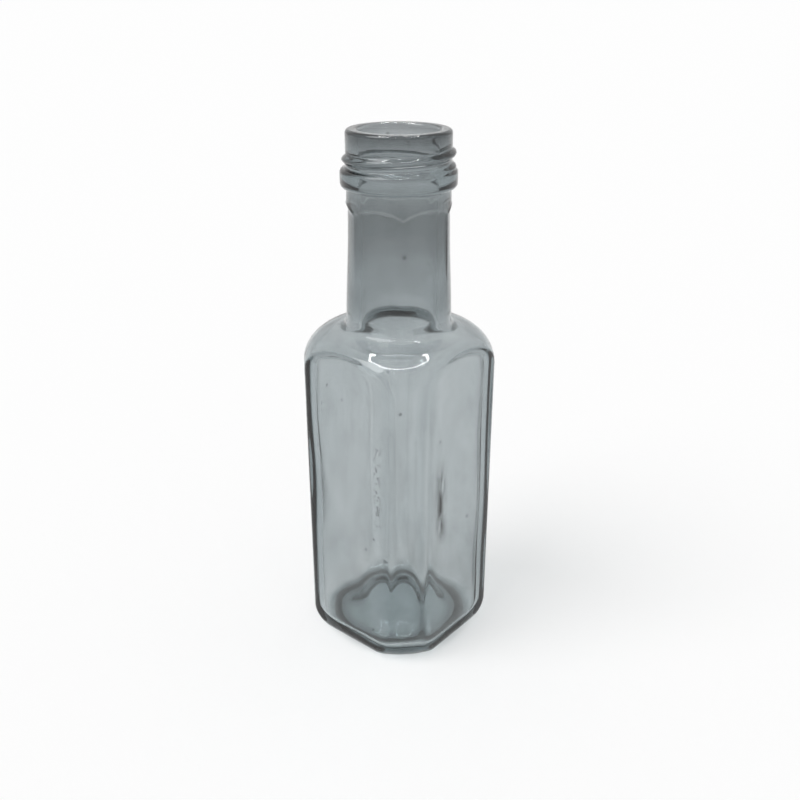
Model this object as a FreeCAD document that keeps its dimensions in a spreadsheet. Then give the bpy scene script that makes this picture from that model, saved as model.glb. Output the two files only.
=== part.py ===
import FreeCAD, Part
import math
import os
from FreeCAD import Placement, Rotation, Vector
from Sketcher import Constraint

# Glass bottle, in millimetres.
#
# One piece of clear blown glass: a square body with flattened corners under a round
# shoulder, a neck with six shallow flats, and a screw finish (collar bead, one screw
# thread and a round lip). It stands on z = 0, its upright axis is Z and its side faces
# look along X and Y.
#
# The outside is what two shapes have in common: a turned outline, which gives the shoulder,
# the neck, the collar and the lip, and an upright block with the plan of the body. The
# inside is made the same way, one glass wall smaller, and is cut out of the outside.

SIZES = {
    # the whole bottle and the plan of its body
    "total_height": 135.0,
    "body_width": 40.8,
    "corner_cut": 6.7,
    "upright_edge_round": 1.8,
    "heel_round": 3.6,
    "corner_heel_round": 6.8,
    # shoulder: a gentle cone from the neck, rounded over into the walls
    "shoulder_height": 87.7,
    "shoulder_drop": 2.7,
    "shoulder_round": 9.5,
    "shoulder_margin": 0.3,
    "neck_root_round": 1.8,
    # neck: slightly conical, with flats that fade out at the root and stop short at the top
    "neck_root_diameter": 26.2,
    "neck_top_diameter": 24.9,
    "neck_flats": 6,
    "neck_edge_turn": -45.0,
    "flat_depth": 0.4,
    "flat_root_gap": 14.0,
    "flat_runout": 9.0,
    "flat_top_gap": 3.4,
    "flat_top_runout": 0.5,
    # finish: collar bead, screw thread and lip
    "finish_height": 13.4,
    "bead_height": 4.7,
    "bead_diameter": 27.8,
    "bead_round": 1.1,
    "bead_foot_round": 1.3,
    "lip_diameter": 25.0,
    "lip_round": 0.9,
    "thread_diameter": 27.2,
    "thread_pitch": 3.2,
    "thread_width": 2.3,
    "thread_turns": 1.9,
    "thread_below_lip": 4.8,
    # inside
    "wall": 2.3,
    "inner_corner_round": 9.0,
    "inner_heel_round": 1.9,
    "inner_corner_heel_round": 5.1,
    "base_thickness": 3.0,
    "floor_rise": 1.8,
    "push_up": 2.0,
    "push_up_width": 29.0,
    "bore_diameter": 19.1,
    "throat_round": 6.5,
    "mouth_round": 0.8,
}

# Places that several features share, each worked out from the sizes.
SHOULDER_RADIUS = "( body_width - corner_cut ) / sqrt(2) + shoulder_margin"
SHOULDER_CORNER = "shoulder_height - shoulder_drop"
BEAD_BOTTOM = "total_height - finish_height"

THREAD_TOP_ANGLE = 90.0  # degrees about Z where the thread's upper end lies
THREAD_FADE = 35.0  # degrees over which each end of the thread sinks into the lip
THREAD_SEAT = 0.4  # how deep the thread's foot is sunk into the lip
THREAD_STEP = 12.0  # degrees from one cross-section of the thread to the next
FULL_TURN = 360.0
ANY_TURN = Rotation(Vector(0, 1, 0), 1)  # keeps a sketch's upright axis until its angle is bound
TOLERANCE = 1e-4  # for telling edges apart by where they lie
HEIGHT_TOLERANCE = 0.05  # how far the finished height may read off its named size

doc = FreeCAD.newDocument("glass_bottle")
sheet = doc.addObject("Spreadsheet::Sheet", "Sizes")


# ---------------------------------------------------------------- helpers

def fill_sheet():
    """Write each driving size into the sheet, with its name beside it."""
    for row, (alias, number) in enumerate(SIZES.items(), start=1):
        sheet.set(f"A{row}", alias)
        sheet.set(f"B{row}", str(number))
        sheet.setAlias(f"B{row}", alias)
    doc.recompute()


def value(alias):
    """The number in the sheet's cell of that name."""
    return float(sheet.get(alias))


def bound(expression):
    """An expression in which every size's name points to its cell in the sheet."""
    words = expression.split(" ")
    return " ".join(f"Sizes.{word}" if word in SIZES else word for word in words)


def new_body(name):
    """An empty body with that name."""
    body = doc.addObject("PartDesign::Body", name)
    body.Label = name
    return body


def origin_feature(body, role):
    """One of the body's own origin planes or axes, such as XY_Plane or Z_Axis."""
    return next(item for item in body.Origin.OriginFeatures if item.Role == role)


def plane_sketch(body, name, role):
    """A sketch on one of the body's origin planes."""
    sketch = body.newObject("Sketcher::SketchObject", name)
    sketch.AttachmentSupport = [(origin_feature(body, role), "")]
    sketch.MapMode = "FlatFace"
    return sketch


def hold_point(sketch, line, across, up):
    """Hold the start of a line at an (x, y) pair of expressions, where "0" is on the axis."""
    for kind, axis, expression in (("DistanceX", -2, across), ("DistanceY", -1, up)):
        if expression == "0":
            sketch.addConstraint(Constraint("PointOnObject", line, 1, axis))
        else:
            number = sketch.addConstraint(Constraint(kind, -1, 1, line, 1, 1.0))
            sketch.setExpression(f"Constraints[{number}]", bound(expression))


def closed_outline(sketch, corners):
    """A closed run of straight lines whose corners are held at (x, y) expressions."""
    count = len(corners)
    turn = 2 * math.pi / count
    rim = [Vector(math.cos(turn * step), math.sin(turn * step), 0) for step in range(count)]
    for index in range(count):
        sketch.addGeometry(Part.LineSegment(rim[index], rim[(index + 1) % count]), False)
    for index, (across, up) in enumerate(corners):
        sketch.addConstraint(Constraint("Coincident", index, 2, (index + 1) % count, 1))
        hold_point(sketch, index, across, up)


def turned_solid(body, corners):
    """A solid turned about Z from the outline through named (radius, height) corners."""
    sketch = plane_sketch(body, f"{body.Name}Outline", "XZ_Plane")
    closed_outline(sketch, list(corners.values()))
    solid = body.newObject("PartDesign::Revolution", f"{body.Name}Turned")
    solid.Profile = sketch
    solid.ReferenceAxis = (sketch, ["V_Axis"])
    solid.Angle = FULL_TURN
    doc.recompute()
    return sketch, solid


def fillet(body, name, tip, edges, radius):
    """Round those edges of a feature by a radius from the sheet."""
    rounded = body.newObject("PartDesign::Fillet", name)
    rounded.Base = (tip, edges)
    rounded.setExpression("Radius", bound(radius))
    doc.recompute()
    return rounded


def edge_names(feature, wanted):
    """Names of the feature's edges for which a test on the edge is true."""
    edges = enumerate(feature.Shape.Edges, start=1)
    return [f"Edge{index}" for index, edge in edges if wanted(edge)]


def ring_at(feature, corner):
    """Names of the circular edges that pass through one corner of a turned outline."""

    def passes(edge):
        if not isinstance(edge.Curve, Part.Circle):
            return False
        same_radius = abs(edge.Curve.Radius - corner.x) < TOLERANCE
        return same_radius and abs(edge.Curve.Center.z - corner.y) < TOLERANCE

    return edge_names(feature, passes)


def round_rings(body, tip, sketch, corners, roundings):
    """Round a turned solid at named corners of its outline, one radius after another."""
    places = list(corners)
    for names, radius in roundings:
        edges = []
        for name in names:
            edges += ring_at(tip, sketch.Geometry[places.index(name)].StartPoint)
        tip = fillet(body, f"{names[0]}Round", tip, edges, radius)
    return tip


def upright_block(body, corners, height):
    """A block of that height whose plan has its corners at (x, y) expressions."""
    sketch = plane_sketch(body, f"{body.Name}Plan", "XY_Plane")
    closed_outline(sketch, corners)
    block = body.newObject("PartDesign::Pad", f"{body.Name}Pad")
    block.Profile = sketch
    block.setExpression("Length", bound(height))
    doc.recompute()
    return block


def is_upright(edge):
    """True for an edge that runs straight up."""
    box = edge.BoundBox
    return box.ZLength > TOLERANCE and box.XLength + box.YLength < TOLERANCE


def is_on_floor(edge):
    """True for an edge that lies in the plane z = 0 of its body."""
    return abs(edge.BoundBox.ZMin) < TOLERANCE and abs(edge.BoundBox.ZMax) < TOLERANCE


def round_block(body, block, upright_round, floor_round):
    """Round a block's upright edges, and then the whole edge round its floor."""
    sides = fillet(body, f"{body.Name}Sides", block, edge_names(block, is_upright), upright_round)
    return fillet(body, f"{body.Name}Heel", sides, edge_names(sides, is_on_floor), floor_round)


def cut_ellipsoid(body, name, height, half_height, half_width):
    """Cut a flat ellipsoid about Z out of a body, centred at that height."""
    hollow = body.newObject("PartDesign::SubtractiveEllipsoid", name)
    hollow.AttachmentSupport = [(origin_feature(body, "XY_Plane"), "")]
    hollow.MapMode = "FlatFace"
    hollow.setExpression("AttachmentOffset.Base.z", bound(height))
    hollow.setExpression("Radius1", bound(half_height))
    hollow.setExpression("Radius2", bound(half_width))
    hollow.setExpression("Radius3", bound(half_width))
    doc.recompute()


def combined(kind, name, base, tool):
    """A boolean of two objects: Part::Common, Part::Fuse or Part::Cut."""
    result = doc.addObject(kind, name)
    result.Base = base
    result.Tool = tool
    doc.recompute()
    return result


# ---------------------------------------------------------------- the outside

def turned_outside():
    """Shoulder, neck, collar and lip as one turned solid, with the flats of the neck."""
    body = new_body("TurnedOutside")
    corners = {
        "Centre": ("0", "0"),
        "CornerHeel": (SHOULDER_RADIUS, "0"),
        "Shoulder": (SHOULDER_RADIUS, SHOULDER_CORNER),
        "NeckRoot": ("neck_root_diameter / 2", "shoulder_height"),
        "NeckTop": ("neck_top_diameter / 2", BEAD_BOTTOM),
        "BeadBottom": ("bead_diameter / 2", BEAD_BOTTOM),
        "BeadTop": ("bead_diameter / 2", f"{BEAD_BOTTOM} + bead_height"),
        "LipFoot": ("lip_diameter / 2", f"{BEAD_BOTTOM} + bead_height"),
        "Lip": ("lip_diameter / 2", "total_height"),
        "Top": ("0", "total_height"),
    }
    roundings = (
        (("CornerHeel",), "corner_heel_round"),
        (("Shoulder",), "shoulder_round"),
        (("NeckRoot",), "neck_root_round"),
        (("BeadBottom",), "bead_foot_round"),
        (("BeadTop",), "bead_round"),
        (("Lip",), "lip_round"),
    )
    sketch, solid = turned_solid(body, corners)
    round_rings(body, solid, sketch, corners, roundings)
    cut_neck_flats(body)
    cut_ellipsoid(body, "PushUp", "0", "push_up", "push_up_width / 2")
    return body


def cut_neck_flats(body):
    """Flats round the neck, each as deep as the next, that slope out at both ends.

    One of the edges between the flats looks along neck_edge_turn about Z.
    """
    root = "shoulder_height + flat_root_gap"
    top = f"{BEAD_BOTTOM} - flat_top_gap"
    corners = [
        ("neck_root_diameter / 2 + flat_depth", f"{root} - flat_runout"),
        ("neck_root_diameter / 2 - flat_depth", f"{root} + flat_runout"),
        ("neck_top_diameter / 2 - flat_depth", f"{top} - flat_top_runout"),
        ("neck_top_diameter / 2 + flat_depth", f"{top} + flat_top_runout"),
        ("neck_root_diameter", f"{top} + flat_top_runout"),
        ("neck_root_diameter", f"{root} - flat_runout"),
    ]
    sketch = plane_sketch(body, "NeckFlatSide", "XZ_Plane")
    sketch.AttachmentOffset = Placement(Vector(), ANY_TURN)
    turn = bound("( 180 / neck_flats + neck_edge_turn ) * 1 deg")
    sketch.setExpression("AttachmentOffset.Rotation.Angle", turn)
    closed_outline(sketch, corners)
    doc.recompute()
    flat = body.newObject("PartDesign::Pocket", "NeckFlat")
    flat.Profile = sketch
    flat.SideType = "Symmetric"
    flat.setExpression("Length", bound("neck_root_diameter"))
    doc.recompute()
    flats = body.newObject("PartDesign::PolarPattern", "NeckFlats")
    flats.Originals = [flat]
    flats.Axis = (origin_feature(body, "Z_Axis"), [""])
    flats.Angle = FULL_TURN
    flats.setExpression("Occurrences", bound("neck_flats"))
    body.Tip = flats
    doc.recompute()


def body_block():
    """An upright block with the plan of the body, a square with its corners cut flat."""
    body = new_body("BodyBlock")
    far = "body_width / 2"
    near = "body_width / 2 - corner_cut"
    quarter = [(far, f"-( {near} )"), (far, near), (near, far), (f"-( {near} )", far)]
    opposite = [(f"-( {across} )", f"-( {up} )") for across, up in quarter]
    block = upright_block(body, quarter + opposite, "total_height + wall")
    round_block(body, block, "upright_edge_round", "heel_round")
    return body


# ---------------------------------------------------------------- the screw thread

def thread_section(angle, height, foot, crest):
    """Cross-section of the thread at an angle about Z: an arch on a straight foot."""
    outward = Vector(math.cos(math.radians(angle)), math.sin(math.radians(angle)), 0)
    half = Vector(0, 0, value("thread_width") / 2)
    middle = Vector(0, 0, height)
    low = outward * foot + middle - half
    high = outward * foot + middle + half
    arch = Part.Arc(low, outward * crest + middle, high).toShape()
    return Part.Wire([arch, Part.LineSegment(high, low).toShape()])


def thread_ridge():
    """The thread: a right-hand helix that fades into the lip at each end."""
    foot = value("lip_diameter") / 2 - THREAD_SEAT
    full = value("thread_diameter") / 2
    sweep = value("thread_turns") * FULL_TURN
    top = value("total_height") - value("thread_below_lip")
    count = round(sweep / THREAD_STEP)
    sections = []
    for step in range(count + 1):
        gone = sweep * step / count
        rise = min(1.0, gone / THREAD_FADE, (sweep - gone) / THREAD_FADE)
        crest = foot + THREAD_SEAT / 2 + (full - foot - THREAD_SEAT / 2) * math.sin(rise * math.pi / 2)
        height = top - value("thread_pitch") * gone / FULL_TURN
        sections.append(thread_section(THREAD_TOP_ANGLE - gone, height, foot, crest))
    ridge = doc.addObject("Part::Feature", "ThreadRidge")
    ridge.Shape = Part.makeLoft(sections, True, True)
    ridge.Placement = Placement()
    return ridge


# ---------------------------------------------------------------- the inside

def turned_inside():
    """The hollow from floor to mouth as one turned solid, open at the top."""
    body = new_body("TurnedInside")
    radius = f"{SHOULDER_RADIUS} - wall"
    corners = {
        "Centre": ("0", "base_thickness"),
        "Floor": (radius, "base_thickness"),
        "InnerShoulder": (radius, f"{SHOULDER_CORNER} - wall"),
        "Throat": ("bore_diameter / 2", "shoulder_height - wall"),
        "Mouth": ("bore_diameter / 2", "total_height"),
        "OverLip": ("lip_diameter / 2", "total_height"),
        "OverLipTop": ("lip_diameter / 2", "total_height + wall"),
        "Top": ("0", "total_height + wall"),
    }
    roundings = (
        (("Floor",), "inner_corner_heel_round"),
        (("InnerShoulder",), "shoulder_round - wall"),
        (("Throat",), "throat_round"),
        (("Mouth",), "mouth_round"),
    )
    sketch, solid = turned_solid(body, corners)
    round_rings(body, solid, sketch, corners, roundings)
    cut_ellipsoid(body, "FloorRise", "base_thickness", "floor_rise", "push_up_width / 2")
    return body


def inner_block():
    """An upright block with the plan of the hollow, a square with large round corners."""
    body = new_body("InnerBlock")
    far = "body_width / 2 - wall"
    near = f"-( {far} )"
    corners = [(far, near), (far, far), (near, far), (near, near)]
    block = upright_block(body, corners, "total_height + wall")
    round_block(body, block, "inner_corner_round", "inner_heel_round")
    body.setExpression("Placement.Base.z", bound("base_thickness"))
    doc.recompute()
    return body


# ---------------------------------------------------------------- the bottle

def check_document():
    """Stop if any object of the document failed to build."""
    for item in doc.Objects:
        if "Invalid" in item.State or "Error" in item.State:
            raise RuntimeError(f"{item.Label} did not build: {item.State}")


def check_height(part):
    """Stop if the finished solid doesn't stand from foot to lip, as when a boolean quietly loses one side."""
    box = part.Shape.optimalBoundingBox()
    short = max(abs(box.ZMin), abs(box.ZMax - value("total_height")))
    if short > HEIGHT_TOLERANCE:
        raise RuntimeError(f"{part.Label} is short of its full height by {short:.2f} mm")


def export(part):
    """Write one finished sub-part to its own file, named after its label."""
    shape = part.Shape
    if shape.isNull() or not shape.isValid() or len(shape.Solids) != 1:
        raise RuntimeError(f"{part.Label} is not one valid solid")
    shape.exportStep(f"parts/{part.Label}.step")
    print(part.Label, "volume", round(shape.Volume), "area", round(shape.Area), shape.optimalBoundingBox())


fill_sheet()
outside = combined("Part::Common", "Outside", turned_outside(), body_block())
threaded = combined("Part::Fuse", "ThreadedOutside", outside, thread_ridge())
inside = combined("Part::Common", "Inside", turned_inside(), inner_block())
bottle = combined("Part::Cut", "Bottle", threaded, inside)
bottle.Label = "bottle"
bottle.Placement = Placement()
doc.recompute()
check_document()
check_height(bottle)
print("space inside, millilitres", round(inside.Shape.Volume / 1000, 1))
os.makedirs("parts", exist_ok=True)
export(bottle)
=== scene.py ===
# %% [markdown]
# # A square glass bottle, empty and without its cap
#
# The real bottle is one piece of clear glass. It was blown into a mould, so its
# outside is crisp where the mould was cut crisp, and its inside is soft, because
# only air shaped it. This lesson builds both sides as one closed surface, gives
# it a glass that darkens with its thickness, and sets it on a pale floor.
#
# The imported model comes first. It fixes the size and the place of everything.

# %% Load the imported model
import math

import bpy
import numpy as np
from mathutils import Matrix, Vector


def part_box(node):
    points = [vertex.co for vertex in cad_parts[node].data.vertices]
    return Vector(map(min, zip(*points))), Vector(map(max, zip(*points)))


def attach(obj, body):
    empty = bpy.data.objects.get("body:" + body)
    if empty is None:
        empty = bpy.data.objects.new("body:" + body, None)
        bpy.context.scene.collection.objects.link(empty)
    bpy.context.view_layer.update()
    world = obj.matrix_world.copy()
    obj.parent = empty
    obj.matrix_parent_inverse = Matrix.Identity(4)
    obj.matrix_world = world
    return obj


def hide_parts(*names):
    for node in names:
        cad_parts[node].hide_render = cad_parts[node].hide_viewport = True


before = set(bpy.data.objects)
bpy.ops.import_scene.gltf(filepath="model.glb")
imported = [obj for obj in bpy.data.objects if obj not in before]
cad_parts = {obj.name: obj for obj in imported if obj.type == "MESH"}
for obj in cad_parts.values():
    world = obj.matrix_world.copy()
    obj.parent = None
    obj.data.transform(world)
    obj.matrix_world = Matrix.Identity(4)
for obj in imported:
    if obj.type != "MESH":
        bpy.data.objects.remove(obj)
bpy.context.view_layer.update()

MM = 0.001  # a millimetre in metres
low, high = (np.array(corner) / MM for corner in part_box("bottle"))
TOTAL_HEIGHT = high[2] - low[2]
HALF_WIDTH = (high[0] - low[0]) / 2
print("bottle, mm:", round(TOTAL_HEIGHT, 2), "high,", round(2 * HALF_WIDTH, 2), "wide")

# %% [markdown]
# ## How the surface is laid out
#
# A bottle like this could be made with boolean cuts, or as a box with bevels.
# Both leave long thin triangles, and glass shows every one of them, because it
# bends light by the direction in which its surface faces. A regular grid is
# better: one direction of the grid goes round the bottle, and the other goes
# from the middle of the base, up the outside, over the lip, down the inside and
# to the middle of the floor. The shape is then a formula of two numbers, the
# angle round the bottle and the place along that line.

# %% The grid's directions
COLUMNS = 280
LEAST_COSINE = 1e-6  # stands in where a plane faces away
angle = np.linspace(0.0, 2.0 * math.pi, COLUMNS, endpoint=False)[None, :]


def soft_least(radii, sharpness):
    """The least of several radii, with a rounded change-over between them.

    It is the sum of each radius to the power -k, raised to the power -1 / k. A
    larger k gives a crisper edge.
    """
    least = np.minimum.reduce(np.broadcast_arrays(*radii))
    total = sum((least / radius) ** sharpness for radius in radii)
    return least * total ** (-1.0 / sharpness)


def upright_planes(distance, first, count):
    """Radii at which upright planes, evenly round the axis, are met.

    A plane's radius is its distance divided by the cosine of the turn from its
    normal. It is endless where the plane faces away.
    """
    turns = [angle - first - 2.0 * math.pi * number / count for number in range(count)]
    facing = [np.maximum(np.cos(turn), LEAST_COSINE) for turn in turns]
    return [distance / cosine for cosine in facing]


def smooth_step(value, start, end):
    """0 before start and 1 after end, as 3 x x - 2 x x x in between."""
    x = np.clip((value - start) / (end - start), 0.0, 1.0)
    return x * x * (3.0 - 2.0 * x)


print("columns round the bottle:", COLUMNS)

# %% [markdown]
# ## The line from the body to the floor
#
# Shoulder, neck, collar, lip, bore and throat are round on the real bottle, so
# one line of radius against height describes them. Its corners are few. Each
# gives way to an arc that touches both sides, which is how a drawing of a
# bottle states it too. Points stand closer together where the glass is busy.

# %% Sizes of the round parts, in millimetres
CORNER_CUT = 6.7
SHOULDER_HEIGHT = 87.7
SHOULDER_DROP = 2.7
SHOULDER_ROUND = 9.5
SHOULDER_MARGIN = 0.3
NECK_ROOT_RADIUS = 13.1
NECK_ROOT_ROUND = 1.8
NECK_TOP_RADIUS = 12.45
NECK_TOP_ROUND = 0.3
FINISH_HEIGHT = 13.4
BEAD_HEIGHT = 4.7
BEAD_RADIUS = 13.9
BEAD_FOOT_ROUND = 1.3
BEAD_ROUND = 1.1
LIP_RADIUS = 12.5
LIP_FOOT_ROUND = 0.5
LIP_ROUND = 0.9
MOUTH_ROUND = 0.8
BORE_RADIUS = 9.55
THROAT_ROUND = 6.5
WALL = 2.3
BASE_THICKNESS = 3.0
WALL_FOOT = 12.0  # where the heels have ended, inside and out
CLOSE_ROWS = 6.0  # how far below the collar the rows begin to stand closer

CORNER_DISTANCE = (2.0 * HALF_WIDTH - CORNER_CUT) / math.sqrt(2.0)
SHOULDER_RADIUS = CORNER_DISTANCE + SHOULDER_MARGIN
SHOULDER_CORNER = SHOULDER_HEIGHT - SHOULDER_DROP
BEAD_BOTTOM = TOTAL_HEIGHT - FINISH_HEIGHT
BEAD_TOP = BEAD_BOTTOM + BEAD_HEIGHT
NECK_MIDDLE = BEAD_BOTTOM - CLOSE_ROWS
NECK_MIDDLE_RADIUS = NECK_TOP_RADIUS + (NECK_ROOT_RADIUS - NECK_TOP_RADIUS) * (
    BEAD_BOTTOM - NECK_MIDDLE) / (BEAD_BOTTOM - SHOULDER_HEIGHT)
LEAST_STEPS = 3  # along any arc


def rounded_line(corners):
    """Points along a line whose corners are (radius, height, rounding, spacing).

    A corner's arc starts rounding * tan(turn / 2) before the corner. Its points
    are the centre plus the spoke to the arc's start, turned step by step. The
    spacing holds for the arc and for the straight stretch after it.
    """
    place = np.array([corner[:2] for corner in corners])
    points = [place[:1]]
    for number in range(1, len(corners)):
        rounding, spacing = corners[number][2:]
        ahead = place[number] - place[number - 1]
        ahead = ahead / np.linalg.norm(ahead)
        arc = place[number:number + 1]
        if rounding and number + 1 < len(corners):
            leaving = place[number + 1] - place[number]
            leaving = leaving / np.linalg.norm(leaving)
            turn = math.atan2(ahead[0] * leaving[1] - ahead[1] * leaving[0], ahead @ leaving)
            start = place[number] - ahead * rounding * math.tan(abs(turn) / 2.0)
            side = math.copysign(1.0, turn) * np.array([-ahead[1], ahead[0]])
            steps = max(LEAST_STEPS, math.ceil(abs(turn) * rounding / spacing))
            swept = turn * np.linspace(0.0, 1.0, steps + 1)[:, None]
            spoke = -side * rounding
            across = np.array([-spoke[1], spoke[0]])
            arc = start - spoke + spoke * np.cos(swept) + across * np.sin(swept)
        run = arc[0] - points[-1][-1]
        count = max(1, math.ceil(np.linalg.norm(run) / corners[number - 1][3]))
        along = np.linspace(0.0, 1.0, count + 1)[1:-1, None]
        points += [points[-1][-1] + run * along, arc]
    return np.concatenate(points)


line = rounded_line([
    (SHOULDER_RADIUS, WALL_FOOT, 0.0, 2.4),
    (SHOULDER_RADIUS, SHOULDER_CORNER, SHOULDER_ROUND, 0.32),
    (NECK_ROOT_RADIUS, SHOULDER_HEIGHT, NECK_ROOT_ROUND, 1.0),
    (NECK_MIDDLE_RADIUS, NECK_MIDDLE, 0.0, 0.22),
    (NECK_TOP_RADIUS, BEAD_BOTTOM, NECK_TOP_ROUND, 0.3),
    (BEAD_RADIUS, BEAD_BOTTOM, BEAD_FOOT_ROUND, 0.3),
    (BEAD_RADIUS, BEAD_TOP, BEAD_ROUND, 0.3),
    (LIP_RADIUS, BEAD_TOP, LIP_FOOT_ROUND, 0.26),
    (LIP_RADIUS, TOTAL_HEIGHT, LIP_ROUND, 0.25),
    (BORE_RADIUS, TOTAL_HEIGHT, MOUTH_ROUND, 1.6),
    (BORE_RADIUS, SHOULDER_HEIGHT - WALL, THROAT_ROUND, 0.6),
    (SHOULDER_RADIUS - WALL, SHOULDER_CORNER - WALL, SHOULDER_ROUND - WALL, 3.0),
    (SHOULDER_RADIUS - WALL, WALL_FOOT, 0.0, 1.0),
])
line_radius, line_height = line[:, :1], line[:, 1:]
lip_row = int(np.argmax(line_height[:, 0]))
print("rows from body to floor:", len(line), "of which outside:", lip_row)

# %% [markdown]
# ## The outside of the body
#
# The mould's body is a square with its corners cut off flat, and each of its
# edges is a little rounded. Eight upright planes give that outline: four for
# the faces and four for the cut corners. Taking the soft least of the planes
# and of the round line cuts the shoulder off in arches by itself, because near
# the top of each face the round shoulder comes inside the plane.

# %% Faces and cut corners
SIDES = 4
EDGE_SHARPNESS = 115  # upright edges, rounded by about 1.8 mm
ARCH_SHARPNESS = 145  # where a side meets the round shoulder


def eight_sided(face_distance, corner_distance, sharpness):
    """Radius of an outline of four faces and, halfway between them, four cut corners."""
    faces = upright_planes(face_distance, 0.0, SIDES)
    corners = upright_planes(corner_distance, math.pi / SIDES, SIDES)
    return soft_least(faces + corners, sharpness)


def body_outline(inset):
    """Radius of the body whose planes stand in by an inset."""
    return eight_sided(HALF_WIDTH - inset, CORNER_DISTANCE - inset, EDGE_SHARPNESS)


outside_radius, outside_height = line_radius[:lip_row], line_height[:lip_row]
outside = soft_least([body_outline(0.0), outside_radius], ARCH_SHARPNESS)
print("widest radius outside, mm:", outside.max().round(2))

# %% [markdown]
# ## Six panels round the neck
#
# The neck carries six shallow panels. They could be cut with six flat tools,
# but the mould pressed them softly: each is deepest in its middle, fades out
# above the shoulder, and ends under the collar in an arch with a thin raised
# edge. Two arches meet in a small V. The panels are taken off the round neck
# as a depth that depends on the turn within a panel and on the height.

# %% Press the panels
PANEL_COUNT = 6
PANEL_EDGE = math.radians(-45.0)  # one edge faces the cut corner
PANEL_DEPTH = 0.38
PANEL_FOOT = SHOULDER_HEIGHT + 3.5
PANEL_FADE = 20.0
ARCH_CREST = BEAD_BOTTOM - 3.4
ARCH_DROP = 1.9
ARCH_STEP = 1.6
ARCH_LIFT = 0.12
ARCH_THICKNESS = 0.38


def panel_turn():
    """The turn t from a panel's middle, from -1 at one edge to 1 at the other."""
    half_turn = math.pi / PANEL_COUNT
    return (angle - PANEL_EDGE) % (2.0 * half_turn) / half_turn - 1.0


def above_arch(height):
    """The distance above the panels' arched tops, which lie the drop times t t below the crest."""
    return height - ARCH_CREST + ARCH_DROP * panel_turn() ** 2


def arch_line(height):
    """1 along the arch, falling off as a bell curve of the distance to it."""
    return np.exp(-(above_arch(height) / ARCH_THICKNESS) ** 2)


def neck_panels(height):
    """How deep the panels lie below the round neck, less their raised edge.

    With t the turn from a panel's middle, the depth is the panel's times (1 - t t).
    """
    depth = PANEL_DEPTH * (1.0 - panel_turn() ** 2)
    under = 1.0 - smooth_step(above_arch(height), -ARCH_STEP, 0.0)
    above_foot = smooth_step(height, PANEL_FOOT, PANEL_FOOT + PANEL_FADE)
    return depth * under * above_foot - ARCH_LIFT * arch_line(height)


pressed = neck_panels(outside_height)
outside = outside - pressed
print("deepest panel, mm:", pressed.max().round(2))

# %% [markdown]
# ## The screw thread
#
# The thread is one ridge that winds down to the right for almost two turns and
# sinks into the lip at both ends. It could be a separate coil fused on, but
# glass has no join there. Raising the surface itself keeps one skin: at each
# angle the ridge's middle has a known height, and the surface is lifted by a
# rounded hump round that height.

# %% Raise the thread
THREAD_HEIGHT = 1.1
THREAD_TOP = TOTAL_HEIGHT - 4.8
THREAD_PITCH = 3.2
THREAD_HALF_WIDTH = 1.25
THREAD_FULLNESS = 1.4  # a larger power makes the hump narrower
THREAD_TURNS = 1.9
THREAD_START = math.radians(90.0)  # where its upper end lies
THREAD_FADE = 35.0 / 360.0  # of a turn
THREAD_BLEND = 0.45  # how softly it grows out of lip and collar
LEAST_LIFT = 0.001  # where the thread rises by less, the skin is left as it is
COLLAR_CLEAR = 1.0  # how far above the collar's foot the thread may begin


def thread_lift(height):
    """How far the thread stands out of the lip, at each height and angle.

    The hump is (1 - q q) to a power, where q is the height from the ridge's
    middle over half its width. Both ends fade as a quarter sine wave.
    """
    first_turn = ((THREAD_START - angle) / (2.0 * math.pi)) % 1.0
    lift = np.zeros(np.broadcast(height, angle).shape)
    for turn in range(math.ceil(THREAD_TURNS)):
        gone = first_turn + turn
        left = np.clip(np.minimum(gone, THREAD_TURNS - gone) / THREAD_FADE, 0.0, 1.0)
        middle = THREAD_TOP - THREAD_PITCH * gone
        q = np.clip((height - middle) / THREAD_HALF_WIDTH, -1.0, 1.0)
        hump = THREAD_HEIGHT * np.sin(left * math.pi / 2.0) * (1.0 - q * q) ** THREAD_FULLNESS
        lift = np.maximum(lift, hump)
    return lift


def soft_most(first, second, blend):
    """The greater of two radii, blended over a length.

    It is half their sum plus half the root of their difference squared and the
    blend squared, less half the blend.
    """
    return (first + second + np.sqrt((first - second) ** 2 + blend ** 2) - blend) / 2.0


thread = thread_lift(outside_height)
threaded = soft_most(outside, LIP_RADIUS + thread, THREAD_BLEND)
lifted = (outside_height > BEAD_BOTTOM + COLLAR_CLEAR) & (thread > LEAST_LIFT)
outside = np.where(lifted, np.maximum(outside, threaded), outside)
on_lip = outside_height[:, 0] > BEAD_TOP + COLLAR_CLEAR
print("thread crest radius, mm:", outside[on_lip].max().round(2))

# %% [markdown]
# ## Heel, foot and push-up
#
# The bottle stands on a narrow flat foot. Outside it the heel curls up into the
# sides, tighter under the faces than under the corners. Inside it the base is
# pushed up a little, in a soft square that runs parallel to the sides, so that
# the bottle can't rock. Each part is another few rows of the same grid.

# %% Rows under the body
FACE_HEEL = 3.6
CORNER_HEEL = 6.8
HEEL_ROWS = 18
STRAIGHT_ROWS = 2  # above the heel
FOOT_WIDTH = 2.6
FOOT_ROWS = 2
PUSH_UP = 2.0
PUSH_UP_SHARPNESS = 7  # a square with much softer corners than the body
DOME_TOP = 0.55  # share of the radius where the slope begins
DOME_START = 0.08  # share of the radius at the first row round the middle
TOP_ROWS = 5
SLOPE_ROWS = 13


def heel_inset(height, rounding):
    """How far a heel of that rounding stands in from its wall at a height."""
    below = np.clip(rounding - height, 0.0, rounding)
    return rounding - np.sqrt(rounding ** 2 - below ** 2)


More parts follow.
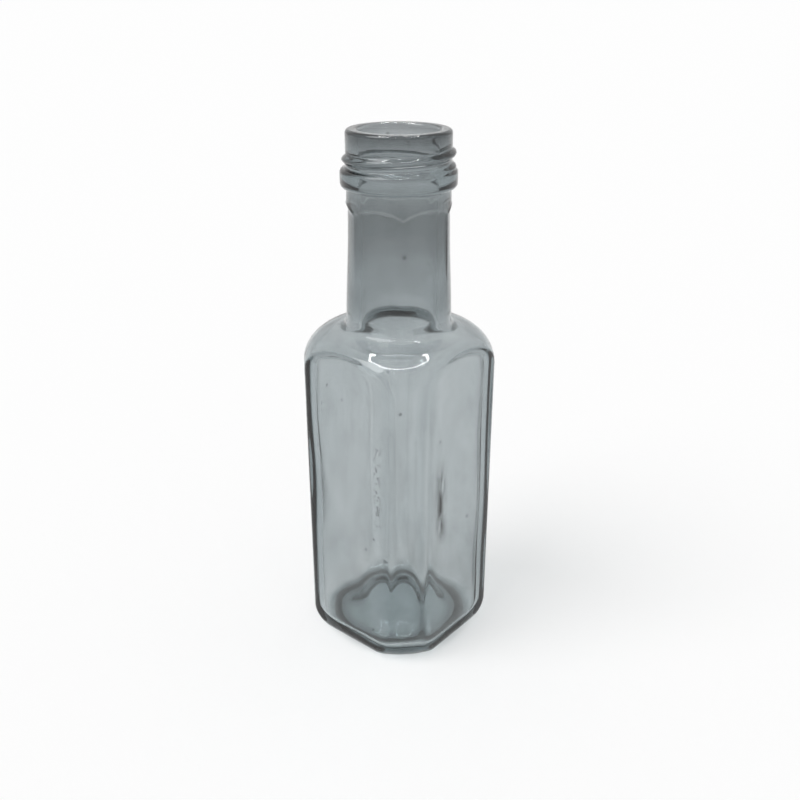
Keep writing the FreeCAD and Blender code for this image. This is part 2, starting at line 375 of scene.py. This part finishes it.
def heel_rows(top, rounding, count):
    """Heights from 0 up to a top, close together where a heel of that rounding is flat."""
    curl = rounding * (1.0 - np.cos(np.linspace(0.0, math.pi / 2.0, count)))
    straight = np.linspace(rounding, top, STRAIGHT_ROWS + 2)[1:-1]
    return np.concatenate([curl, straight])[:, None]


def all_round(height):
    """The height of each row, repeated for every column."""
    return height + 0.0 * angle


def dome_profile(share):
    """Height of a dome, as a share of its rise, at a share of its radius.

    It is a half cosine wave over the slope, and flat inside the slope.
    """
    return (1.0 + np.cos(math.pi * np.clip((share - DOME_TOP) / (1.0 - DOME_TOP), 0.0, 1.0))) / 2.0


heel_height = heel_rows(WALL_FOOT, CORNER_HEEL, HEEL_ROWS)
turned_heel = SHOULDER_RADIUS - heel_inset(heel_height, CORNER_HEEL)
heel_radius = soft_least([body_outline(heel_inset(heel_height, FACE_HEEL)), turned_heel], ARCH_SHARPNESS)

rim = eight_sided(
    HALF_WIDTH - FACE_HEEL - FOOT_WIDTH, SHOULDER_RADIUS - CORNER_HEEL - FOOT_WIDTH, PUSH_UP_SHARPNESS)
dome = np.concatenate([
    np.linspace(DOME_START, DOME_TOP, TOP_ROWS)[:-1], np.linspace(DOME_TOP, 1.0, SLOPE_ROWS)])[:, None]
dome_radius = rim * dome
dome_height = all_round(PUSH_UP * dome_profile(dome))

foot = np.linspace(0.0, 1.0, FOOT_ROWS + 2)[1:-1, None]
foot_radius = rim + (heel_radius[:1] - rim) * foot
foot_height = np.zeros_like(foot_radius)
print("foot from", rim.min().round(2), "to", heel_radius[0].min().round(2), "mm")

# %% [markdown]
# ## The inside
#
# Air pressed the hot glass into the mould from within, so the inside follows
# the outside a wall away, with softer corners and a thick floor, and its walls
# swell and thin slowly from place to place. Those slow waves are what makes
# straight lines behind a bottle look bent, so they are part of the shape. They
# are a sum of a few long sine waves, longer upright than round the bottle, and
# they end below the shoulder.

# %% Rows inside
INNER_SHARPNESS = 18  # edges much softer than the mould cut outside
INNER_ARCH_SHARPNESS = 60
INNER_HEEL_EXTRA = 0.6  # the inner heel is this much rounder than a parallel one
INNER_HEEL_ROWS = 15
FLOOR_RISE = 1.8
WAVES = (  # waves round the bottle, waves per metre of height, start, size in mm
    (2, 9.0, 0.4, 0.16), (3, 14.0, 2.1, 0.14), (5, 22.0, 4.4, 0.09), (8, 31.0, 1.3, 0.05),
)
WAVES_FADE_FROM = SHOULDER_HEIGHT - 14.0
WAVES_TOP = SHOULDER_HEIGHT - 3.0


def wall_waves(height):
    """The slow waves of the inner wall: a sum of sines of angle and height."""
    rise = height * MM * 2.0 * math.pi
    return sum(
        size * np.sin(round_count * angle + per_metre * rise + start)
        for round_count, per_metre, start, size in WAVES)


def inner_outline(inset, turned):
    """Radius of the inside, whose planes stand in by an inset and which a turned shape limits."""
    walls = eight_sided(HALF_WIDTH - WALL - inset, CORNER_DISTANCE - WALL - inset, INNER_SHARPNESS)
    return soft_least([walls, turned], INNER_ARCH_SHARPNESS)


inside_radius, inside_height = line_radius[lip_row:], line_height[lip_row:]
in_body = 1.0 - smooth_step(inside_height, WAVES_FADE_FROM, WAVES_TOP)
inside = inner_outline(0.0, inside_radius) + wall_waves(inside_height) * in_body

inner_face_heel = FACE_HEEL - WALL + INNER_HEEL_EXTRA
inner_corner_heel = CORNER_HEEL - WALL + INNER_HEEL_EXTRA
curl = heel_rows(WALL_FOOT - BASE_THICKNESS, inner_corner_heel, INNER_HEEL_ROWS)[::-1]
turned_curl = SHOULDER_RADIUS - WALL - heel_inset(curl, inner_corner_heel)
curled_in = inner_outline(heel_inset(curl, inner_face_heel), turned_curl)
curl_radius = inside[-1:] * curled_in / inner_outline(0.0, line_radius[-1:])
curl_height = all_round(BASE_THICKNESS + curl)

floor_share = dome[::-1][1:]
floor_radius = curl_radius[-1:] * floor_share
floor_height = all_round(BASE_THICKNESS + FLOOR_RISE * dome_profile(floor_share))
print("inside, widest radius mm:", inside.max().round(2))

# %% [markdown]
# ## One closed skin
#
# All rows are now stacked in the order of the line and joined into four-sided
# faces. The last column is joined to the first, and each end of the line closes
# on one point with a fan of triangles, so the skin has no hole. That matters
# for glass, because light has to know when it is inside.
#
# Each point also carries one number, how much of the skin's tint it takes: all of it outside and none
# inside. Less of it is taken along thin lines, which are painted highlights where the real glass catches
# light: the arches over the panels, and the seam that the mould's halves leave up two opposite edges.
# Ridges could catch that light, but a ridge high enough to look as bright would show in the bottle's
# outline.

# %% Join the rows
ARCH_PAINTED_HIGHLIGHT = 0.45  # share of the tint that the arches lose, a painted highlight
# the seam's painted highlight, as the share of the tint that it loses
SEAM_PAINTED_HIGHLIGHT = 1.0
SEAM_TURN = math.radians(1.3)
SEAM_FOOT = 10.0
SEAM_TOP = 76.0
SEAM_FADE = 12.0


def closed_skin(radius, height, bottom_pole, top_pole):
    """Points and faces of a grid that closes round the axis and at both ends.

    A point is (radius cos angle, radius sin angle, height). A face takes a
    point, the next one round, and the same two of the next row.
    """
    rows, columns = radius.shape
    grid = np.stack([radius * np.cos(angle), radius * np.sin(angle), height], axis=-1)
    points = np.concatenate([grid.reshape(-1, 3), [[0, 0, bottom_pole], [0, 0, top_pole]]])
    number = np.arange(rows * columns).reshape(rows, columns)
    after = np.roll(number, -1, axis=1)
    quads = np.stack([number[:-1], after[:-1], after[1:], number[1:]], axis=-1).reshape(-1, 4)
    first = np.full(columns, rows * columns)
    lower = np.stack([first, after[0], number[0]], axis=-1)
    upper = np.stack([number[-1], after[-1], first + 1], axis=-1)
    return points * MM, quads.tolist() + lower.tolist() + upper.tolist()


def seam_line(height):
    """1 along the seam, up one edge of a cut corner and the edge opposite, fading at its ends."""
    edge = math.atan2(CORNER_CUT - HALF_WIDTH, HALF_WIDTH)
    away = (angle - edge + math.pi / 2.0) % math.pi - math.pi / 2.0
    above_foot = smooth_step(height, SEAM_FOOT, SEAM_FOOT + SEAM_FADE)
    below_top = 1.0 - smooth_step(height, SEAM_TOP - SEAM_FADE, SEAM_TOP)
    return np.exp(-(away / SEAM_TURN) ** 2) * above_foot * below_top


row_radius = np.concatenate([
    dome_radius, foot_radius, heel_radius, outside, inside, curl_radius, floor_radius])
row_height = np.concatenate([
    dome_height, foot_height, all_round(heel_height), all_round(outside_height),
    all_round(inside_height), curl_height, floor_height])
points, faces = closed_skin(row_radius, row_height, PUSH_UP, BASE_THICKNESS + FLOOR_RISE)

under_rows = len(dome_radius) + len(foot_radius) + len(heel_radius)
inner_rows = len(inside) + len(curl_radius) + len(floor_radius)
# painted highlights: along the arches and the seam the skin takes less tint and looks bright
painted_highlight = ARCH_PAINTED_HIGHLIGHT * arch_line(outside_height) + SEAM_PAINTED_HIGHLIGHT * seam_line(outside_height)
outer_skin = np.concatenate([np.ones((under_rows, COLUMNS)), 1.0 - painted_highlight, np.zeros((inner_rows, COLUMNS))])
pole_skin = [1.0, 0.0]  # under the foot, and on the floor inside

mesh = bpy.data.meshes.new("bottle_glass")
mesh.from_pydata(points.tolist(), [], faces)
mesh.shade_smooth()
skin_values = mesh.attributes.new("outer_skin", "FLOAT", "POINT").data
skin_values.foreach_set("value", np.append(outer_skin.reshape(-1), pole_skin))
bottle = bpy.data.objects.new("bottle_glass", mesh)
bpy.context.scene.collection.objects.link(bottle)
print("points:", len(points), "faces:", len(faces))

# %% [markdown]
# ## The glass
#
# Clear bottle glass is not quite colourless. It passes light well across a thin wall and darkens to a
# cool grey across a thick edge. A tint painted on the surface would look the same everywhere, so the
# colour is put inside the glass as absorption, and the thickness does the rest. Absorption alone leaves
# the bottle too pale, so the outer skin adds a tint by height: a light grey on the body, painted shade
# that darkens the neck and the lip, and painted light in paler bands at the shoulder and round the
# thread.
#
# Materials are small trees of nodes. Two helpers keep them short: one feeds a
# node's inputs with other nodes' results or with plain values, and the other
# makes the node first. A Mix node's inputs share their names, so they go by
# number: 0 is the share, 2 and 3 are its two numbers, 4 and 5 its two vectors.

# %% Helpers for nodes
def feed(tree, node, inputs):
    """Give inputs of a node, by name or number, a socket to follow or a plain value."""
    for name, source in inputs.items():
        if isinstance(source, bpy.types.NodeSocket):
            tree.links.new(source, node.inputs[name])
        else:
            node.inputs[name].default_value = source


def new_node(tree, kind, inputs=None, **settings):
    """A new shader node of a kind, with its settings made and its inputs fed."""
    node = tree.nodes.new("ShaderNode" + kind)
    for name, value in settings.items():
        setattr(node, name, value)
    feed(tree, node, inputs or {})
    return node


def numeric(tree, operation, *sources):
    """The result of a Math node, fed by sockets or plain numbers."""
    return new_node(tree, "Math", dict(enumerate(sources)), operation=operation).outputs[0]


def fade(tree, source, start, end, low=0.0, high=1.0):
    """A smooth step of a value, from low before start to high after end."""
    limits = {"From Min": start, "From Max": end, "To Min": low, "To Max": high}
    step = new_node(tree, "MapRange", {"Value": source, **limits}, interpolation_type="SMOOTHSTEP")
    return step.outputs["Result"]


def stretched_noise(tree, place, scale, detail, stretch):
    """Noise whose grain is drawn out along the axes with a small stretch factor."""
    mapping = new_node(tree, "Mapping", {"Vector": place.outputs["Object"], "Scale": stretch})
    vector = mapping.outputs["Vector"]
    noise = new_node(tree, "TexNoise", {"Vector": vector, "Scale": scale, "Detail": detail})
    return noise.outputs["Fac"]


def colour_along(tree, source, reach, stops, interpolation="LINEAR"):
    """The colour at a length of up to reach mm, between stops of (length in mm, colour)."""
    share = new_node(tree, "MapRange", {"Value": source, "From Max": reach * MM})
    ramp = new_node(tree, "ValToRGB", {"Fac": share.outputs["Result"]})
    ramp.color_ramp.interpolation = interpolation
    elements = ramp.color_ramp.elements  # two are there from the start
    for number, (length, colour) in enumerate(stops):
        stop = elements[number] if number < 2 else elements.new(length / reach)
        stop.position = length / reach
        stop.color = (*colour, 1.0)
    return ramp.outputs["Color"]


print("helpers ready")

# %% [markdown]
# ### Ripple and tint of the skin, with painted shade and light
#
# A mould prints a fine ripple on the glass: flat rings round the collar and the lip, and upright streaks
# elsewhere. It is far finer than the grid, so it is bump on the surface. The tint, a light grey with
# painted shade and painted light, is looked up by height, and the number that each point carries says how
# much of it is taken there.

# %% Ripple and tint, with painted shade and light
RIPPLE_HEIGHT = 0.02
RINGS_FOOT = 119.0  # from here up the ripple runs round, not upright
RINGS_FADE = 3.0
RINGS = (700.0, 3.0, (0.10, 0.10, 1.0))  # scale, detail and stretch, here and below
STREAKS = (260.0, 3.0, (1.0, 1.0, 0.10))
# Painted shade darkens the neck and the lip, painted light makes the shoulder and the thread band paler;
# the body keeps a light grey.
TINT_AND_PAINTED_SHADE_BY_HEIGHT = (  # height in mm, and what one wall lets through there
    (3.0, (1.000, 1.000, 1.000)), (16.0, (0.870, 0.885, 0.892)),
    (84.0, (0.875, 0.890, 0.897)), (87.5, (0.910, 0.917, 0.923)),
    (90.0, (0.910, 0.917, 0.923)), (94.0, (0.725, 0.740, 0.747)),
    (101.0, (0.755, 0.770, 0.777)), (109.0, (0.560, 0.574, 0.580)),
    (117.0, (0.530, 0.544, 0.550)), (124.0, (0.880, 0.892, 0.898)),
    (131.0, (0.660, 0.672, 0.680)), (134.5, (0.310, 0.322, 0.330)),
)


def ripples(tree, place, across):
    """The direction of the rippled skin: bump by noise in rings above, in streaks below."""
    foot = RINGS_FOOT * MM
    blend = new_node(tree, "Mix", {
        0: fade(tree, across.outputs["Z"], foot, foot + RINGS_FADE * MM),
        2: stretched_noise(tree, place, *STREAKS),
        3: stretched_noise(tree, place, *RINGS)})
    bump = new_node(tree, "Bump", {"Height": blend.outputs[0], "Distance": RIPPLE_HEIGHT * MM})
    return bump.outputs["Normal"]


def skin_tint_and_painted_shade(tree, across):
    """The tint with its painted shade and light at a height, squared, on the outer skin, and white on the
    inner.

    The shader's colour is meant to be met twice, on the way into the glass and
    out of it. Here only the outer skin carries it, so it is squared.
    """
    tint_and_painted_shade = colour_along(tree, across.outputs["Z"], TOTAL_HEIGHT, TINT_AND_PAINTED_SHADE_BY_HEIGHT)
    squared = new_node(tree, "VectorMath", {0: tint_and_painted_shade, 1: tint_and_painted_shade}, operation="MULTIPLY")
    skin = new_node(tree, "Attribute", attribute_name="outer_skin")
    chosen = new_node(tree, "Mix", data_type="VECTOR")
    feed(tree, chosen, {0: skin.outputs["Fac"], 4: (1.0, 1.0, 1.0), 5: squared.outputs[0]})
    return chosen.outputs[1]


print("tints by height:", len(TINT_AND_PAINTED_SHADE_BY_HEIGHT))

# %% [markdown]
# ### Two upright marks
#
# A drawn-out smear runs up one face of the bottle, and a row of specks runs up
# another. They have no thickness, so they could be painted pictures, but noise
# within a soft upright band does the same and stays sharp from close by. Both
# are the same function with other values.

# %% Smear and specks
WANDER = 2.4  # how far a smear wanders to and fro, in mm
WANDER_GRAIN = (120.0, 2.0, (1.0, 1.0, 0.6))
MARK_FOOT_FADE = 7.0
MARK_TOP_FADE = 8.0
FACE_DEPTH = 0.4  # a mark stays on the outermost part of its face
SMEAR = {  # in mm: the axis its face looks along, the upright line it follows, its ends
    "face": ("X", 1.0), "line": ("Y", -7.9), "ends": (33.0, 60.0), "width": 3.2,
    "grain": (500.0, 2.0, (1.0, 1.0, 0.25)), "limits": (0.28, 0.55), "dark": 1.0,
}
SPECKS = {
    "face": ("Y", -1.0), "line": ("X", 10.3), "ends": (38.0, 68.0), "width": 1.8,
    "grain": (1400.0, 1.0, (1.0, 1.0, 0.6)), "limits": (0.52, 0.62), "dark": 0.60,
}


def clear_of(tree, place, across, mark):
    """What an upright mark lets through: 1 less its darkness times its shape.

    The shape is a product. It falls off with the distance from a slightly
    wandering line, towards both of the mark's ends, and behind the outermost
    part of its face, and the mark's grain breaks it up.
    """
    face_axis, face_sign = mark["face"]
    line_axis, line_at = mark["line"]
    foot, top = (end * MM for end in mark["ends"])
    upright = across.outputs["Z"]
    noise = stretched_noise(tree, place, *WANDER_GRAIN)
    wander = numeric(tree, "MULTIPLY_ADD", noise, WANDER * MM, -WANDER / 2.0 * MM)
    straight = numeric(tree, "SUBTRACT", across.outputs[line_axis], line_at * MM)
    away = numeric(tree, "ABSOLUTE", numeric(tree, "ADD", straight, wander))
    outwards = numeric(tree, "MULTIPLY", across.outputs[face_axis], face_sign)
    shape = fade(tree, away, 0.0, mark["width"] * MM, 1.0, 0.0)
    for part in (
            fade(tree, upright, foot, foot + MARK_FOOT_FADE * MM),
            fade(tree, upright, top - MARK_TOP_FADE * MM, top, 1.0, 0.0),
            fade(tree, outwards, (HALF_WIDTH - FACE_DEPTH) * MM, (HALF_WIDTH - FACE_DEPTH / 2.0) * MM),
            fade(tree, stretched_noise(tree, place, *mark["grain"]), *mark["limits"])):
        shape = numeric(tree, "MULTIPLY", shape, part)
    return numeric(tree, "SUBTRACT", 1.0, numeric(tree, "MULTIPLY", shape, mark["dark"]))


print("smear from", SMEAR["ends"][0], "to", SMEAR["ends"][1], "mm high")

# %% [markdown]
# ### Bubbles, haze and smudges
#
# A few small bubbles were caught in the glass, a thin haze lies over it, faint
# streaks are drawn down it, and handling leaves smudges that are a little
# rougher. Bubbles could be hollow spheres, but at this size they only show as
# dark dots, so they are cells of a pattern. All of it darkens the tint, apart
# from the smudges, which roughen the gloss.

# %% Bubbles, haze and smudges
BUBBLE_SPACING = 9.0
BUBBLE_SIZE = 0.65
BUBBLE_CORE = 0.4  # share of a bubble that is fully dark
BUBBLE_PASSES = 0.35  # of the light, in its core
HAZE = (150.0, 5.0, (1.0, 1.0, 0.5))
HAZE_LIMITS = (0.35, 0.75, 1.0, 0.90)  # noise from and to, light passed from and to
DRAWN = (300.0, 2.0, (1.0, 1.0, 0.06))
DRAWN_LIMITS = (0.3, 0.7, 0.978, 1.0)
SMUDGE = (90.0, 5.0, (1.0, 1.0, 1.0))
SMUDGE_LIMITS = (0.55, 0.8)
SMUDGE_ROUGH = 0.09


def clear_of_bubbles(tree, place):
    """What scattered bubbles let through: each is dark in its core and fades to its edge."""
    cells = new_node(tree, "TexVoronoi", {
        "Vector": place.outputs["Object"], "Scale": 1.0 / (BUBBLE_SPACING * MM)})
    size = BUBBLE_SIZE / BUBBLE_SPACING
    return fade(tree, cells.outputs["Distance"], size * BUBBLE_CORE, size, BUBBLE_PASSES, 1.0)


def marked_tint_and_painted_shade(tree, place, across):
    """The skin's tint with its painted shade and light, times what bubbles, smear, specks, haze and drawn
    streaks let through.
    """
    passed = clear_of_bubbles(tree, place)
    for part in (
            clear_of(tree, place, across, SMEAR),
            clear_of(tree, place, across, SPECKS),
            fade(tree, stretched_noise(tree, place, *HAZE), *HAZE_LIMITS),
            fade(tree, stretched_noise(tree, place, *DRAWN), *DRAWN_LIMITS)):
        passed = numeric(tree, "MULTIPLY", passed, part)
    darker = new_node(tree, "VectorMath", operation="SCALE")
    feed(tree, darker, {0: skin_tint_and_painted_shade(tree, across), "Scale": passed})
    return darker.outputs[0]


def smudges(tree, place):
    """The roughness, which rises evenly where the noise is high."""
    start, end = SMUDGE_LIMITS
    rougher = new_node(tree, "MapRange", {
        "Value": stretched_noise(tree, place, *SMUDGE),
        "From Min": start, "From Max": end, "To Max": SMUDGE_ROUGH})
    return rougher.outputs["Result"]


print("bubbles", BUBBLE_SIZE, "mm,", BUBBLE_SPACING, "mm apart")

# %% [markdown]
# ### The whole glass
#
# Light that a lamp sends straight through glass is slow to find, because the
# glass bends it. So shadow rays alone see a plain see-through skin that takes a
# fixed share, and all other rays see the real one.

# %% Make the glass
GLASS_COLOUR = (0.45, 0.518, 0.534, 1.0)
GLASS_DENSITY = 205.0
GLASS_IOR = 1.5
LAMP_PASSES = (0.80, 0.81, 0.81, 1.0)  # of a lamp's light, at each skin


def clear_glass():
    """Clear glass with absorption inside, and a tinted, marked and rippled skin."""
    material = bpy.data.materials.new("clear_glass")
    material.use_nodes = True
    tree = material.node_tree
    tree.nodes.clear()
    place = new_node(tree, "TexCoord")
    across = new_node(tree, "SeparateXYZ", {"Vector": place.outputs["Object"]})
    glass = new_node(tree, "BsdfPrincipled", {
        "Transmission Weight": 1.0,
        "IOR": GLASS_IOR,
        "Base Color": marked_tint_and_painted_shade(tree, place, across),
        "Roughness": smudges(tree, place),
        "Normal": ripples(tree, place, across)})
    lamp_skin = new_node(tree, "BsdfTransparent", {"Color": LAMP_PASSES})
    rays = new_node(tree, "LightPath")
    skin = new_node(tree, "MixShader", {
        "Fac": rays.outputs["Is Shadow Ray"], 1: glass.outputs["BSDF"], 2: lamp_skin.outputs["BSDF"]})
    absorption = new_node(tree, "VolumeAbsorption", {"Color": GLASS_COLOUR, "Density": GLASS_DENSITY})
    new_node(tree, "OutputMaterial", {
        "Surface": skin.outputs["Shader"], "Volume": absorption.outputs["Volume"]})
    return material


bottle.data.materials.append(clear_glass())
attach(bottle, "root")
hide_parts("bottle")
print("glass on", bottle.name)

# %% [markdown]
# ## Sky and sun
#
# An even sky and one large soft sun make a plain studio. Together they light a
# white floor to white: the sky gives its own level, and a sun of strength pi
# from straight above would give 1, so its share is divided by the sine of its
# height. Looked at directly the sky is plain white, and what glass and gloss
# show of it is a little less.

# %% Light
SKY = 0.60
SEEN_SKY = 0.88  # what glass and gloss show of it
WHITE_SKY = 1.0  # behind everything, where the camera looks straight at it
WHITE = (1.0, 1.0, 1.0, 1.0)
CAMERA_TURN = math.radians(40.07)  # from -Y towards +X
SUN_ANGLE = math.radians(40.0)
SUN_HEIGHT = math.radians(52.0)
SUN_TURN = CAMERA_TURN - math.radians(62.0)


def seen_ray(tree):
    """1 for the rays that look: camera, mirrored and refracted ones, else 0."""
    rays = new_node(tree, "LightPath")
    either = numeric(tree, "MAXIMUM", rays.outputs["Is Camera Ray"], rays.outputs["Is Glossy Ray"])
    return numeric(tree, "MAXIMUM", either, rays.outputs["Is Transmission Ray"])


world = bpy.data.worlds.new("studio")
bpy.context.scene.world = world
world.use_nodes = True
world_tree = world.node_tree
camera_ray = new_node(world_tree, "LightPath").outputs["Is Camera Ray"]
looked_at = new_node(world_tree, "Mix", {0: camera_ray, 2: SEEN_SKY, 3: WHITE_SKY})
sky_level = new_node(world_tree, "Mix", {0: seen_ray(world_tree), 2: SKY, 3: looked_at.outputs[0]})
sky = world_tree.nodes["Background"]
feed(world_tree, sky, {"Color": WHITE, "Strength": sky_level.outputs[0]})

sun_data = bpy.data.lights.new("soft_sun", "SUN")
sun_data.energy = (1.0 - SKY) * math.pi / math.sin(SUN_HEIGHT)
sun_data.angle = SUN_ANGLE
sun = bpy.data.objects.new("soft_sun", sun_data)
sun.rotation_euler = (math.pi / 2.0 - SUN_HEIGHT, 0.0, SUN_TURN)
bpy.context.scene.collection.objects.link(sun)
print("sun", round(sun_data.energy, 2), "sky", SKY)

# %% [markdown]
# ## Floor
#
# Glass is seen by what lies behind it, so the floor is matt pale paper that
# reaches far enough to fill the view. Rays that look at it see part of it as
# plain white, which keeps the open floor white and the shadow on it pale.
#
# The glass lets a lamp's light through by a fixed share, however thick it is,
# so the deep shade under the thick foot is given to the paper itself, in rings
# round the axis. The white share ends there too.

# %% Paper under the bottle
FLOOR_REACH = 40.0  # metres
FLOOR_GLOW = 0.35  # share of plain white that the looking rays see in the paper
COVERED_FROM = 15.0  # distance from the axis in mm where the white share begins
COVERED_TO = 22.0  # and where it is full
SHADE_REACH = 40.0
SHADE_UNDER = (  # distance from the axis in mm, and how pale the paper is there
    (0.0, 0.93), (10.0, 0.90), (14.0, 0.50), (17.0, 0.60), (22.0, 0.98),
)


def floor_paper():
    """Matt paper, shaded in rings under the bottle, and partly plain white to looking rays."""
    material = bpy.data.materials.new("floor_paper")
    material.use_nodes = True
    tree = material.node_tree
    place = new_node(tree, "TexCoord")
    away = new_node(tree, "VectorMath", {0: place.outputs["Object"]}, operation="LENGTH").outputs["Value"]
    shades = [(distance, (level, level, level)) for distance, level in SHADE_UNDER]
    paper = tree.nodes["Principled BSDF"]
    feed(tree, paper, {
        "Base Color": colour_along(tree, away, SHADE_REACH, shades, "EASE"),
        "Roughness": 1.0,
        "Specular IOR Level": 0.0})
    uncovered = fade(tree, away, COVERED_FROM * MM, COVERED_TO * MM)
    open_paper = numeric(tree, "MULTIPLY", seen_ray(tree), uncovered)
    mixed = new_node(tree, "MixShader", {
        "Fac": numeric(tree, "MULTIPLY", open_paper, FLOOR_GLOW),
        1: paper.outputs["BSDF"],
        2: new_node(tree, "Emission").outputs["Emission"]})
    feed(tree, tree.nodes["Material Output"], {"Surface": mixed.outputs["Shader"]})
    return material


floor_mesh = bpy.data.meshes.new("floor")
corner_signs = np.array([(-1, -1), (1, -1), (1, 1), (-1, 1)]) * FLOOR_REACH
floor_mesh.from_pydata([(x, y, 0.0) for x, y in corner_signs.tolist()], [], [(0, 1, 2, 3)])
floor = bpy.data.objects.new("floor", floor_mesh)
bpy.context.scene.collection.objects.link(floor)
floor.data.materials.append(floor_paper())
print("floor reaches", FLOOR_REACH, "m")

# %% [markdown]
# ## Lamps over the bottle
#
# A ring of short lamps hangs over the bottle. It only shows in gloss and
# through glass, and neither the camera nor the matt floor sees it: its broken
# eight-sided outline on a shoulder tells the eye that the glass is smooth and
# how it curves.

# %% Ring of lamps
RING_HEIGHT = 0.9
RING_RADIUS = 0.36
RING_SIDES = 8
RING_ACROSS = 0.80  # a factor on its width, whose root divides its depth
LAMPS_PER_SIDE = 5
LAMP_LENGTH = 0.72  # share of its place in the row
LAMP_WIDTH = 0.026
REAR_LAMP_WIDTH = 0.090  # behind, where the shoulder mirrors it smaller
REAR_FROM = 0.5  # sine of the turn from which a side is behind
LAMP_STRENGTH = 34.0


def ring_corners():
    """Four corners of each lamp, as a row of points.

    A corner lies outwards from the axis by the ring's radius and half a lamp's
    width, and sideways by its lamp's place in the row and half a lamp's length.
    Both are turned with their side, stretched, and turned to face the camera.
    """
    side_turn = 2.0 * math.pi / RING_SIDES * (np.arange(RING_SIDES) + 0.5)[:, None, None]
    half_side = RING_RADIUS * math.tan(math.pi / RING_SIDES)
    row = ((np.arange(LAMPS_PER_SIDE) + 0.5) / LAMPS_PER_SIDE * 2.0 - 1.0)[None, :, None]
    ends = np.array([-1.0, 1.0, 1.0, -1.0]) * LAMP_LENGTH * half_side / LAMPS_PER_SIDE
    widths = np.where(np.sin(side_turn) > REAR_FROM, REAR_LAMP_WIDTH, LAMP_WIDTH)
    sideways = row * half_side + ends
    outwards = RING_RADIUS + np.array([-0.5, -0.5, 0.5, 0.5]) * widths
    x = (outwards * np.cos(side_turn) - sideways * np.sin(side_turn)) * RING_ACROSS
    y = (outwards * np.sin(side_turn) + sideways * np.cos(side_turn)) / RING_ACROSS ** 0.5
    return np.stack([
        x * math.cos(CAMERA_TURN) - y * math.sin(CAMERA_TURN),
        x * math.sin(CAMERA_TURN) + y * math.cos(CAMERA_TURN),
        RING_HEIGHT + 0.0 * x], axis=-1).reshape(-1, 3)


def lamp_glow():
    """A surface that shines white."""
    material = bpy.data.materials.new("lamp")
    material.use_nodes = True
    shader = material.node_tree.nodes["Principled BSDF"]
    feed(material.node_tree, shader, {"Emission Color": WHITE, "Emission Strength": LAMP_STRENGTH})
    return material


lamp_points = ring_corners()
lamp_faces = np.arange(len(lamp_points)).reshape(-1, 4)
ring_mesh = bpy.data.meshes.new("lamp_ring")
ring_mesh.from_pydata(lamp_points.tolist(), [], lamp_faces.tolist())
lamp_ring = bpy.data.objects.new("lamp_ring", ring_mesh)
bpy.context.scene.collection.objects.link(lamp_ring)
ring_mesh.materials.append(lamp_glow())
lamp_ring.visible_camera = lamp_ring.visible_diffuse = lamp_ring.visible_shadow = False
print("lamps in the ring:", len(lamp_faces))

# %% [markdown]
# ## Camera
#
# The camera stands close and looks down at a corner of the bottle, so that two
# faces, the shoulder and the mouth show at once. Being close, it also makes the
# bottle narrow towards its foot, as any near and upright thing does from above.

# %% Camera
CAMERA_AWAY = 217.04 * MM
CAMERA_HEIGHT = 164.64 * MM
CAMERA_PITCH = math.radians(24.34)
CAMERA_LENS = 41.17
CAMERA_SENSOR = 36.0
CAMERA_SHIFT = 0.00146
CLIP_START = 0.01
CLIP_END = 200.0

camera_data = bpy.data.cameras.new("camera")
camera_data.lens = CAMERA_LENS
camera_data.sensor_width = CAMERA_SENSOR
camera_data.shift_x = CAMERA_SHIFT
camera_data.clip_start = CLIP_START
camera_data.clip_end = CLIP_END
camera = bpy.data.objects.new("camera", camera_data)
camera.location = (
    CAMERA_AWAY * math.sin(CAMERA_TURN), -CAMERA_AWAY * math.cos(CAMERA_TURN), CAMERA_HEIGHT)
camera.rotation_euler = (math.pi / 2.0 - CAMERA_PITCH, 0.0, CAMERA_TURN)
bpy.context.scene.collection.objects.link(camera)
bpy.context.scene.camera = camera
bpy.context.scene.view_settings.view_transform = "Standard"
print("camera at", [round(value, 4) for value in camera.location])

# %% [markdown]
# ## The end
#
# The model for looks has to be as large as the imported one, and its height and width come from the
# imported model's box.

# %% The end
print("scene done")
